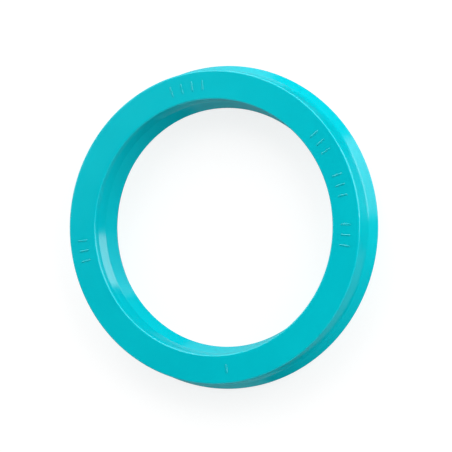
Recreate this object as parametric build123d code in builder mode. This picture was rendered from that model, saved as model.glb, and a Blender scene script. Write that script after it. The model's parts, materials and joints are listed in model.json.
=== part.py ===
"""Single-acting U cup rod seal, moulded in one piece from polyurethane.

The ring lies on its lips with the heel face up. Z is the seal's axis and Z = 0 is the plane of
the lip tips. Sizes are in millimetres and give the free seal, before the rod and the housing
squeeze its lips together.
"""

import os
from math import radians, tan

from build123d import *

# The seal groove in the machine: the rod, the radial depth from rod to groove bottom, and the
# height of the seal that lies in it
rod_diameter = 30.0
radial_section = 4.0
seal_height = 5.7

# Heel: the solid back of the seal, which touches neither the rod nor the housing
heel_rod_clearance = 0.38
heel_housing_clearance = 0.15
heel_corner_chamfer = 0.12

# Shoulders: the hollow flanks where both lips swell out of the heel, measured from the heel face
shoulder_depth = 2.45
shoulder_length = 0.85
shoulder_step = 0.35

# Lips: how far each sealing edge reaches past the surface that it seals on, its height above
# the tips, and how steeply the lip is cut back from there to its tip. The rod lip's edge is
# trimmed sharp to wipe the rod, and the housing lip's edge is moulded round.
rod_lip_bite = 0.5
rod_lip_edge_height = 1.1
rod_lip_cut_angle = 22.0
housing_lip_bite = 0.65
housing_lip_edge_height = 1.3
housing_lip_cut_angle = 22.0
housing_lip_edge_radius = 0.25
lip_tip_width = 0.6

# Groove: the open U between the lips, with a round root
groove_depth = 3.1
groove_root_radius = 0.7

# Radii and heights that follow from the sizes above
rod_radius = rod_diameter / 2
housing_radius = rod_radius + radial_section
heel_bore_radius = rod_radius + heel_rod_clearance
heel_outer_radius = housing_radius - heel_housing_clearance
crest_z = seal_height - shoulder_depth
wall_end_z = crest_z + shoulder_length

rod_cut_back = rod_lip_edge_height * tan(radians(rod_lip_cut_angle))
rod_edge_radius = rod_radius - rod_lip_bite
rod_tip_radius = rod_edge_radius + rod_cut_back
housing_cut_back = housing_lip_edge_height * tan(radians(housing_lip_cut_angle))
housing_edge_radius = housing_radius + housing_lip_bite
housing_tip_radius = housing_edge_radius - housing_cut_back

# Corners of the section as (radius, height) pairs, on the rod side and on the housing side
rod_heel_corner = (heel_bore_radius, seal_height)
rod_wall_end = (heel_bore_radius, wall_end_z)
rod_crest = (heel_bore_radius - shoulder_step, crest_z)
rod_edge = (rod_edge_radius, rod_lip_edge_height)
rod_tip = (rod_tip_radius, 0)
rod_tip_inside = (rod_tip_radius + lip_tip_width, 0)

housing_heel_corner = (heel_outer_radius, seal_height)
housing_wall_end = (heel_outer_radius, wall_end_z)
housing_crest = (heel_outer_radius + shoulder_step, crest_z)
housing_edge = (housing_edge_radius, housing_lip_edge_height)
housing_tip = (housing_tip_radius, 0)
housing_tip_inside = (housing_tip_radius - lip_tip_width, 0)

groove_middle = (rod_tip_inside[0] + housing_tip_inside[0]) / 2
groove_root_centre = (groove_middle, groove_depth - groove_root_radius)
towards_lips = (0, -1)

with BuildPart() as seal_ring:
    with BuildSketch(Plane.XZ) as section:
        # Heel and lips as one outline: out along the heel face, down the housing side to the
        # tips, and back up the rod side
        with BuildLine():
            Line(rod_heel_corner, housing_heel_corner)
            Line(housing_heel_corner, housing_wall_end)
            TangentArc(housing_wall_end, housing_crest, tangent=towards_lips)
            Polyline(housing_crest, housing_edge, housing_tip, rod_tip, rod_edge, rod_crest)
            TangentArc(rod_wall_end, rod_crest, tangent=towards_lips)
            Line(rod_wall_end, rod_heel_corner)
        make_face()

        # The groove's flanks run from the two tips and touch its round root
        with BuildLine() as groove:
            Line(rod_tip_inside, housing_tip_inside)
            CenterArc(groove_root_centre, groove_root_radius, 0, 360)
        make_hull(groove.edges(), mode=Mode.SUBTRACT)

        for heel_corner in (rod_heel_corner, housing_heel_corner):
            chamfer(vertices().sort_by_distance(heel_corner)[0], heel_corner_chamfer)
        fillet(vertices().sort_by_distance(housing_edge)[0], housing_lip_edge_radius)
    revolve(axis=Axis.Z)
seal_ring.part.label = "seal_ring"

os.makedirs("parts", exist_ok=True)
export_step(seal_ring.part, "parts/seal_ring.step")
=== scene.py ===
"""Looks of a moulded polyurethane U cup rod seal: its ring, its moulded index marks, the studio."""

import json
import math

import bmesh
import bpy
from mathutils import Matrix, Vector


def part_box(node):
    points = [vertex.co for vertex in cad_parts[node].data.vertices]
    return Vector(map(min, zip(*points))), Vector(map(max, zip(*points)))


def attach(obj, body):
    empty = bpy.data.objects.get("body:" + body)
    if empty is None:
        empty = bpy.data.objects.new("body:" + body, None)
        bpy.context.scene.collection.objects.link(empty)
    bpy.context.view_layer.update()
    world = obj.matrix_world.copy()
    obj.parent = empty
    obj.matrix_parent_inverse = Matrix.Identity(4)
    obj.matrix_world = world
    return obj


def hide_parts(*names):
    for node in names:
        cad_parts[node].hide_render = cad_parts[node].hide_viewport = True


MM = 0.001

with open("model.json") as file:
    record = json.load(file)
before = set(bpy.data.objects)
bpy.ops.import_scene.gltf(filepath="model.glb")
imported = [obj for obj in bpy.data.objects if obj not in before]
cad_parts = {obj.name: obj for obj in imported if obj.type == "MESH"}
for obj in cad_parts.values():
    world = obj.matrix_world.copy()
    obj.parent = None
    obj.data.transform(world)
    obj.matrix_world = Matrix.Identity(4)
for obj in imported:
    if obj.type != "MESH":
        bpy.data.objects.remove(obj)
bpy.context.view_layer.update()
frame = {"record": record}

# ---------------------------------------------------------------------------------------------
# Sizes, in metres: the heel and the outer lip come from the frame, the rest are the mould's own.
# Heights stand above the lip tips, and depths lie under the heel face.
# ---------------------------------------------------------------------------------------------
mounts = {mount["name"]: mount for mount in frame["record"]["mounts"]}
BORE_R = mounts["rod_side_of_heel"]["dims"]["r_mm"] * MM
HEEL_R = mounts["housing_side_of_heel"]["dims"]["r_mm"] * MM
ring_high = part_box("seal_ring")[1]
HOUSING_EDGE_R = ring_high.x
HEIGHT = ring_high.z

# The heel face lies lower than the solid's by the room that its raised marks take.
MARK_HEIGHT = 0.05 * MM
FACE_Z = HEIGHT - MARK_HEIGHT
HEEL_CORNER_ROUND = 0.17 * MM

# Wall on the housing side, with a slight flare towards its lip
HOUSING_WALL_DEPTH = 2.9 * MM
HOUSING_WALL_ROUND = 0.8 * MM
HOUSING_FLARE = 0.1 * MM

# Wall on the rod side, and the crest where it turns into its lip
ROD_WALL_DEPTH = 1.05 * MM
ROD_WALL_ROUND = 0.6 * MM
ROD_CREST_R = 15.25 * MM
ROD_CREST_DEPTH = 2.88 * MM
ROD_CREST_ROUND = 0.3 * MM

# Lips: the sealing edges, and the tips under them
ROD_EDGE_R = 14.5 * MM
ROD_EDGE_Z = 1.1 * MM
ROD_EDGE_ROUND = 0.06 * MM
ROD_TIP_R = 14.944 * MM
HOUSING_EDGE_Z = 1.3 * MM
HOUSING_EDGE_ROUND = 0.25 * MM
HOUSING_TIP_R = 19.125 * MM
TIP_WIDTH = 0.6 * MM
TIP_ROUND = 0.08 * MM

# The groove between the lips; its two root arcs stay a hair apart.
GROOVE_DEPTH = 3.1 * MM
GROOVE_ROOT_ROUND = 0.7 * MM
ROOT_ARC_R = 0.98 * GROOVE_ROOT_ROUND

# How finely the ring is cut
RING_STEPS = 400
ARC_STEP = math.radians(7)
LEAST_ARC_STEPS = 2
GUARD = 0.03 * MM


def groove_flank_end(tip_r, side):
    """Where a groove flank, tangent to the round root, meets the level of the root's top."""
    middle = (ROD_TIP_R + HOUSING_TIP_R) / 2
    reach = abs(middle - tip_r)
    drop = GROOVE_DEPTH - GROOVE_ROOT_ROUND
    lean = math.atan2(reach, drop) - math.asin(GROOVE_ROOT_ROUND / math.hypot(reach, drop))
    return middle + side * (reach - GROOVE_DEPTH * math.tan(lean)), GROOVE_DEPTH


def section_corners():
    """Corners of the seal's section, each (radius, height, rounding), clockwise from the bore."""
    rod_tip_inside = ROD_TIP_R + TIP_WIDTH
    housing_tip_inside = HOUSING_TIP_R - TIP_WIDTH
    return [
        (BORE_R, FACE_Z, HEEL_CORNER_ROUND),
        (HEEL_R, FACE_Z, HEEL_CORNER_ROUND),
        (HEEL_R + HOUSING_FLARE, HEIGHT - HOUSING_WALL_DEPTH, HOUSING_WALL_ROUND),
        (HOUSING_EDGE_R, HOUSING_EDGE_Z, HOUSING_EDGE_ROUND),
        (HOUSING_TIP_R, 0, TIP_ROUND),
        (housing_tip_inside, 0, TIP_ROUND),
        (*groove_flank_end(housing_tip_inside, 1), ROOT_ARC_R),
        (*groove_flank_end(rod_tip_inside, -1), ROOT_ARC_R),
        (rod_tip_inside, 0, TIP_ROUND),
        (ROD_TIP_R, 0, TIP_ROUND),
        (ROD_EDGE_R, ROD_EDGE_Z, ROD_EDGE_ROUND),
        (ROD_CREST_R, HEIGHT - ROD_CREST_DEPTH, ROD_CREST_ROUND),
        (BORE_R, HEIGHT - ROD_WALL_DEPTH, ROD_WALL_ROUND),
    ]


def rounded_outline(corners):
    """Closed outline through the corners with each one rounded, and a guard point beside every
    arc so that smooth shading stays flat on the straight stretches."""
    outline = []
    for i, (x, z, radius) in enumerate(corners):
        here = Vector((x, z))
        before = Vector(corners[i - 1][:2]) - here
        after = Vector(corners[(i + 1) % len(corners)][:2]) - here
        room = min(before.length, after.length)
        before.normalize()
        after.normalize()
        opening = before.angle(after)
        tangent = radius / math.tan(opening / 2)
        start, end = here + before * tangent, here + after * tangent
        centre = here + (before + after).normalized() * (radius / math.sin(opening / 2))
        guarded = tangent + GUARD < room / 2
        if guarded:
            outline.append(here + before * (tangent + GUARD))
        steps = max(LEAST_ARC_STEPS, round((math.pi - opening) / ARC_STEP))
        for step in range(steps + 1):
            spoke = (start - centre).slerp(end - centre, step / steps)
            outline.append(centre + spoke.normalized() * radius)
        if guarded:
            outline.append(here + after * (tangent + GUARD))
    return outline


def add_object(name, data):
    """An object of the scene that holds the data."""
    made = bpy.data.objects.new(name, data)
    bpy.context.scene.collection.objects.link(made)
    return made


def ring_object(name, outline):
    """The outline turned about the seal's axis."""
    mesh = bpy.data.meshes.new(name)
    bm = bmesh.new()
    rows = []
    for step in range(RING_STEPS):
        angle = math.tau * step / RING_STEPS
        cos, sin = math.cos(angle), math.sin(angle)
        rows.append([bm.verts.new((p.x * cos, p.x * sin, p.y)) for p in outline])
    for step, row in enumerate(rows):
        following = rows[(step + 1) % RING_STEPS]
        for i in range(len(outline)):
            j = (i + 1) % len(outline)
            bm.faces.new((row[i], row[j], following[j], following[i]))
    bmesh.ops.recalc_face_normals(bm, faces=bm.faces)
    for face in bm.faces:
        face.smooth = True
    bm.to_mesh(mesh)
    bm.free()
    return add_object(name, mesh)


# ---------------------------------------------------------------------------------------------
# Node trees
# ---------------------------------------------------------------------------------------------
class Link:
    """A socket of a node tree: arithmetic on it adds Math nodes, and node() adds any other."""

    def __init__(self, tree, socket=None):
        self.tree, self.socket = tree, socket

    def node(self, kind, output=0, settings=None, **inputs):
        """Adds a node, sets its settings, then the values or links of its sockets, which are
        named, or numbered as i0, i1, and returns one of its outputs."""
        made = self.tree.nodes.new(kind)
        for key, value in (settings or {}).items():
            setattr(made, key, value)
        for key, value in inputs.items():
            numbered = key[0] == "i" and key[1:].isdigit()
            socket = made.inputs[int(key[1:]) if numbered else key.replace("_", " ")]
            if isinstance(value, Link):
                self.tree.links.new(value.socket, socket)
            else:
                socket.default_value = value
        return Link(self.tree, made.outputs[output]) if made.outputs else None

    def out(self, name):
        """Another output of the same node."""
        return Link(self.tree, self.socket.node.outputs[name])

    def maths(self, operation, *terms):
        """A Math node of the operation on the terms."""
        inputs = {f"i{place}": term for place, term in enumerate(terms)}
        return self.node("ShaderNodeMath", settings={"operation": operation}, **inputs)

    def ramp(self, low, high):
        """0 where the value is low, 1 where it is high, and smooth between."""
        rise = self.node(
            "ShaderNodeMapRange", settings={"interpolation_type": "SMOOTHSTEP"},
            Value=self, From_Min=min(low, high), From_Max=max(low, high),
        )
        return rise if high > low else 1 - rise

    def __add__(self, other):
        return self.maths("ADD", self, other)

    __radd__ = __add__

    def __sub__(self, other):
        return self.maths("SUBTRACT", self, other)

    def __rsub__(self, other):
        return self.maths("SUBTRACT", other, self)

    def __mul__(self, other):
        return self.maths("MULTIPLY", self, other)

    __rmul__ = __mul__

    def __truediv__(self, other):
        return self.maths("DIVIDE", self, other)

    def __rtruediv__(self, other):
        return self.maths("DIVIDE", other, self)


def new_material(name):
    """A material, and a Link with its empty tree."""
    material = bpy.data.materials.new(name)
    material.use_nodes = True
    material.node_tree.nodes.clear()
    return material, Link(material.node_tree)


# ---------------------------------------------------------------------------------------------
# Moulded index marks: plain raised strokes on the heel face
# ---------------------------------------------------------------------------------------------
MARK_CIRCLE_R = 17.1 * MM
MARK_WIDTH = 0.2 * MM
MARK_RISE = 0.98 * MARK_HEIGHT

STROKE_POINTS = 17
STROKE_SIDES = 12
STROKE_BLUNTNESS = 5.0
STROKE_END_SIZE = 0.002

# Groups of strokes: name, first angle and pitch in degrees, strokes, length in millimetres
MARK_GROUPS = [
    ("top_index_marks", 95.5, 4.6, 4, 1.3),
    ("right_index_marks", -6, 4.2, 3, 1.3),
    ("upper_right_index_marks", 14, 4.2, 3, 1.3),
    ("far_right_index_marks", 33, 4.2, 3, 1.3),
    ("left_index_marks", -173, 4.2, 3, 1.3),
    ("bottom_index_mark", -82, 4.0, 1, 1.1),
]

STROKE_INPUTS = {
    "Strokes": "NodeSocketInt",
    "First Angle": "NodeSocketFloat",
    "Pitch": "NodeSocketFloat",
    "Circle Radius": "NodeSocketFloat",
    "Stroke Length": "NodeSocketFloat",
    "Stroke Width": "NodeSocketFloat",
    "Face Height": "NodeSocketFloat",
    "Rise": "NodeSocketFloat",
    "Material": "NodeSocketMaterial",
}


def ridge(given):
    """One low stroke along X, as wide as it is given, with blunt round ends."""
    half_length = given.out("Stroke Length") * 0.5
    half_width = given.out("Stroke Width") * 0.5
    start = given.node("ShaderNodeCombineXYZ", X=half_length * -1.0)
    end = given.node("ShaderNodeCombineXYZ", X=half_length)
    line = given.node("GeometryNodeCurvePrimitiveLine", Start=start, End=end)
    line = given.node("GeometryNodeResampleCurve", Curve=line, Count=STROKE_POINTS)
    across = given.node("GeometryNodeSplineParameter") * 2.0 - 1.0
    blunt = given.maths("POWER", across * across, STROKE_BLUNTNESS)
    girth = given.maths("SQRT", 1.0 + STROKE_END_SIZE - blunt) * half_width
    wire = given.node("GeometryNodeCurvePrimitiveCircle", Resolution=STROKE_SIDES, Radius=1.0)
    body = given.node(
        "GeometryNodeCurveToMesh", Curve=line, Profile_Curve=wire, Scale=girth, Fill_Caps=True
    )
    low = given.node("ShaderNodeCombineXYZ", X=1.0, Y=1.0, Z=given.out("Rise") / half_width)
    body = given.node("GeometryNodeTransform", Geometry=body, Scale=low)
    return given.node("GeometryNodeSetShadeSmooth", Geometry=body)


def stroke_tree():
    """Strokes that stand radially round a circle: the tree, and its inputs' identifiers."""
    tree = bpy.data.node_groups.new("moulded_strokes", "GeometryNodeTree")
    identifiers = {}
    for label, kind in STROKE_INPUTS.items():
        socket = tree.interface.new_socket(label, in_out="INPUT", socket_type=kind)
        identifiers[label] = socket.identifier
    tree.interface.new_socket("Geometry", in_out="OUTPUT", socket_type="NodeSocketGeometry")

    given = Link(tree).node("NodeGroupInput")
    turn = given.out("First Angle") + given.node("GeometryNodeInputIndex") * given.out("Pitch")
    radius = given.out("Circle Radius")
    place = given.node(
        "ShaderNodeCombineXYZ",
        X=radius * given.maths("COSINE", turn),
        Y=radius * given.maths("SINE", turn),
        Z=given.out("Face Height"),
    )
    points = given.node("GeometryNodePoints", Count=given.out("Strokes"), Position=place)
    heading = given.node("ShaderNodeCombineXYZ", Z=turn)
    rotation = given.node("FunctionNodeEulerToRotation", Euler=heading)
    strokes = given.node(
        "GeometryNodeInstanceOnPoints", Points=points, Instance=ridge(given), Rotation=rotation
    )
    strokes = given.node("GeometryNodeRealizeInstances", Geometry=strokes)
    strokes = given.node(
        "GeometryNodeSetMaterial", Geometry=strokes, Material=given.out("Material")
    )
    given.node("NodeGroupOutput", Geometry=strokes)
    return tree, identifiers


def index_marks(name, tree, identifiers, sizes):
    """A group of strokes made by the tree, as a plain mesh."""
    maker = add_object(name + "_maker", bpy.data.meshes.new(name + "_maker"))
    modifier = maker.modifiers.new("strokes", "NODES")
    modifier.node_group = tree
    for label, value in sizes.items():
        modifier[identifiers[label]] = value
    maker.data.update()
    bpy.context.view_layer.update()
    evaluated = maker.evaluated_get(bpy.context.evaluated_depsgraph_get())
    mesh = bpy.data.meshes.new_from_object(evaluated)
    maker.modifiers.clear()
    bpy.data.objects.remove(maker)
    return add_object(name, mesh)


# ---------------------------------------------------------------------------------------------
# Material
# ---------------------------------------------------------------------------------------------
DEEP_TURQUOISE = (0.0, 0.43, 0.51, 1)
LIGHT_TURQUOISE = (0.0, 0.53, 0.60, 1)
CLOUDS_PER_METRE = 95.0
GRAINS_PER_METRE = 2600.0
GRAIN_DEPTH = 0.02 * MM
GRAIN_STRENGTH = 0.04
SATIN = 0.13
SATIN_SPREAD = 0.06
SUBSURFACE_SHARE = 0.35
SUBSURFACE_BY_COLOUR = (0.15, 1.0, 1.0)
SUBSURFACE_REACH = 0.6 * MM


def polyurethane():
    """Satin turquoise polyurethane: faintly clouded, and slightly see-through at thin edges."""
    material, start = new_material("turquoise_polyurethane")
    place = start.node("ShaderNodeTexCoord", output="Object")
    clouds = place.node(
        "ShaderNodeTexNoise", Vector=place, Scale=CLOUDS_PER_METRE, Detail=3.0, Roughness=0.5
    )
    grain = place.node("ShaderNodeTexNoise", Vector=place, Scale=GRAINS_PER_METRE, Detail=2.0)
    colour = place.node(
        "ShaderNodeMix", output=2, settings={"data_type": "RGBA"},
        i0=clouds, i6=DEEP_TURQUOISE, i7=LIGHT_TURQUOISE,
    )
    bump = place.node(
        "ShaderNodeBump", Strength=GRAIN_STRENGTH, Distance=GRAIN_DEPTH, Height=grain
    )
    surface = place.node(
        "ShaderNodeBsdfPrincipled",
        Base_Color=colour,
        Roughness=SATIN + SATIN_SPREAD * clouds,
        Normal=bump,
        IOR=1.5,
        Subsurface_Weight=SUBSURFACE_SHARE,
        Subsurface_Radius=SUBSURFACE_BY_COLOUR,
        Subsurface_Scale=SUBSURFACE_REACH,
    )
    place.node("ShaderNodeOutputMaterial", Surface=surface)
    return material


# ---------------------------------------------------------------------------------------------
# Studio; azimuths go from +X towards +Y, and elevations up from the floor
# ---------------------------------------------------------------------------------------------
VIEW_TILT = math.radians(22.1)
VIEW_TURN = math.radians(1.44)
VIEW_DISTANCE = 334.1 * MM
VIEW_ASIDE = 1.756 * MM
VIEW_UP = 0.114 * MM
FIELD_OF_VIEW = math.radians(9.283)

# Softboxes: name, azimuth and elevation in degrees, width and height in metres, glow
SOFTBOXES = [
    ("right_softbox", 22, 27, 0.35, 0.5, 3.3),
    ("top_softbox", 82, 33, 0.55, 0.55, 1.75),
    ("left_softbox", 138, 38, 0.55, 0.5, 1.75),
]
SOFTBOX_DISTANCE = 0.5

# Cards below the floor's level: ends in azimuth and in elevation, in degrees, and glow
LOW_CARDS = [
    ((8, 49), (-61, -21.5), 2.2),
    ((98, 200), (-60, -24), 0.5),
    ((200, 262), (-60, -24), 0.3),
    ((215, 345), (-80, -68), 0.45),
    ((95, 160), (-80, -68), 0.35),
]
CARD_BLUR = math.radians(3)

FILL_GLOW = 1.25
FILL_WHOLE_AT = math.radians(15)
FILL_GONE_AT = math.radians(50)
HORIZON_BLUR = math.radians(1)

FLOOR_HALF = 1.5
FLOOR_GREY = (0.8, 0.8, 0.8, 1)
FLOOR_SHADOW_GREY = (0.25, 0.25, 0.25, 1)
FLOOR_GLOW = 0.8


def camera():
    """The view from above, tilted to the seal's right side, and turned a little in its plane."""
    back = Vector((math.sin(VIEW_TILT), 0, math.cos(VIEW_TILT)))
    right = Vector((
        math.cos(VIEW_TILT) * math.cos(VIEW_TURN),
        math.sin(VIEW_TURN),
        -math.sin(VIEW_TILT) * math.cos(VIEW_TURN),
    ))
    up = back.cross(right)
    data = bpy.data.cameras.new("camera")
    data.angle = FIELD_OF_VIEW
    data.clip_start = 0.01
    data.clip_end = 20
    eye = add_object("camera", data)
    centre = Vector((0, 0, HEIGHT))
    place = centre + right * VIEW_ASIDE + up * VIEW_UP + back * VIEW_DISTANCE
    eye.matrix_world = Matrix.Translation(place) @ Matrix((right, up, back)).transposed().to_4x4()
    bpy.context.scene.camera = eye


def softbox(name, azimuth, elevation, width, height, glow):
    """A rectangular lamp that faces the seal."""
    a, e = math.radians(azimuth), math.radians(elevation)
    towards = Vector((math.cos(a) * math.cos(e), math.sin(a) * math.cos(e), math.sin(e)))
    data = bpy.data.lights.new(name, "AREA")
    data.shape = "RECTANGLE"
    data.size, data.size_y = width, height
    data.energy = glow * math.pi * width * height
    lamp = add_object(name, data)
    lamp.location = towards * SOFTBOX_DISTANCE
    lamp.rotation_euler = towards.to_track_quat("Z", "Y").to_euler()


def card(azimuth, elevation, around, height):
    """How much of a soft-edged card is met in a direction; its ends are given in degrees."""
    low, high = (math.radians(end) for end in around)
    middle, half = (low + high) / 2, (high - low) / 2
    soft = CARD_BLUR / 2
    aside = azimuth.maths("WRAP", azimuth - middle, math.pi, -math.pi)
    across = aside.maths("ABSOLUTE", aside).ramp(half + soft, half - soft)
    bottom, top = (math.radians(end) for end in height)
    above = elevation.ramp(bottom - soft, bottom + soft)
    below = elevation.ramp(top + soft, top - soft)
    return across * above * below


def studio_world():
    """Soft fill that darkens overhead, reflecting cards low down, and white to the eye."""
    world = bpy.data.worlds.new("studio")
    bpy.context.scene.world = world
    world.cycles.sampling_method = "NONE"
    world.use_nodes = True
    world.node_tree.nodes.clear()
    direction = Link(world.node_tree).node("ShaderNodeTexCoord", output="Generated")
    x = direction.node("ShaderNodeSeparateXYZ", Vector=direction)
    azimuth = x.maths("ARCTAN2", x.out("Y"), x)
    elevation = x.maths("ARCSINE", x.out("Z"))
    glow = FILL_GLOW * elevation.ramp(FILL_GONE_AT, FILL_WHOLE_AT)
    glow = glow * elevation.ramp(-HORIZON_BLUR, HORIZON_BLUR)
    for around, height, strength in LOW_CARDS:
        glow = glow + strength * card(azimuth, elevation, around, height)
    seen = direction.node("ShaderNodeLightPath", output="Is Camera Ray")
    light = direction.node("ShaderNodeBackground", Strength=glow * (1 - seen) + seen)
    direction.node("ShaderNodeOutputWorld", Surface=light)


def pale_floor():
    """A plain pale floor: white to the eye, with the seal's soft shadow on it, and open to gloss,
    so that the seal's walls mirror the studio's cards and not the floor beside them."""
    mesh = bpy.data.meshes.new("floor")
    corners = [(x * FLOOR_HALF, y * FLOOR_HALF, 0) for x, y in ((-1, -1), (1, -1), (1, 1), (-1, 1))]
    mesh.from_pydata(corners, [], [(0, 1, 2, 3)])
    floor = add_object("floor", mesh)
    material, start = new_material("pale_floor")
    camera_ray = start.node("ShaderNodeLightPath", output="Is Camera Ray")
    lit = start.node("ShaderNodeBsdfDiffuse", Color=FLOOR_GREY)
    shadowed = start.node("ShaderNodeBsdfDiffuse", Color=FLOOR_SHADOW_GREY)
    white = start.node("ShaderNodeEmission", Strength=FLOOR_GLOW)
    to_the_eye = start.node("ShaderNodeAddShader", i0=shadowed, i1=white)
    shown = start.node("ShaderNodeMixShader", i0=camera_ray, i1=lit, i2=to_the_eye)
    clear = start.node("ShaderNodeBsdfTransparent")
    glossy_ray = camera_ray.out("Is Glossy Ray")
    surface = start.node("ShaderNodeMixShader", i0=glossy_ray, i1=shown, i2=clear)
    start.node("ShaderNodeOutputMaterial", Surface=surface)
    mesh.materials.append(material)


# ---------------------------------------------------------------------------------------------
# The scene
# ---------------------------------------------------------------------------------------------
camera()
studio_world()
pale_floor()
for lamp in SOFTBOXES:
    softbox(*lamp)
bpy.context.scene.view_settings.view_transform = "Standard"

rubber = polyurethane()
ring = ring_object("moulded_ring", rounded_outline(section_corners()))
ring.data.materials.append(rubber)
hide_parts("seal_ring")
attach(ring, "root")

strokes_maker, stroke_sockets = stroke_tree()
for name, first, pitch, strokes, length in MARK_GROUPS:
    marks = index_marks(name, strokes_maker, stroke_sockets, {
        "Strokes": strokes,
        "First Angle": math.radians(first),
        "Pitch": math.radians(pitch),
        "Circle Radius": MARK_CIRCLE_R,
        "Stroke Length": length * MM,
        "Stroke Width": MARK_WIDTH,
        "Face Height": FACE_Z,
        "Rise": MARK_RISE,
        "Material": rubber,
    })
    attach(marks, "root")
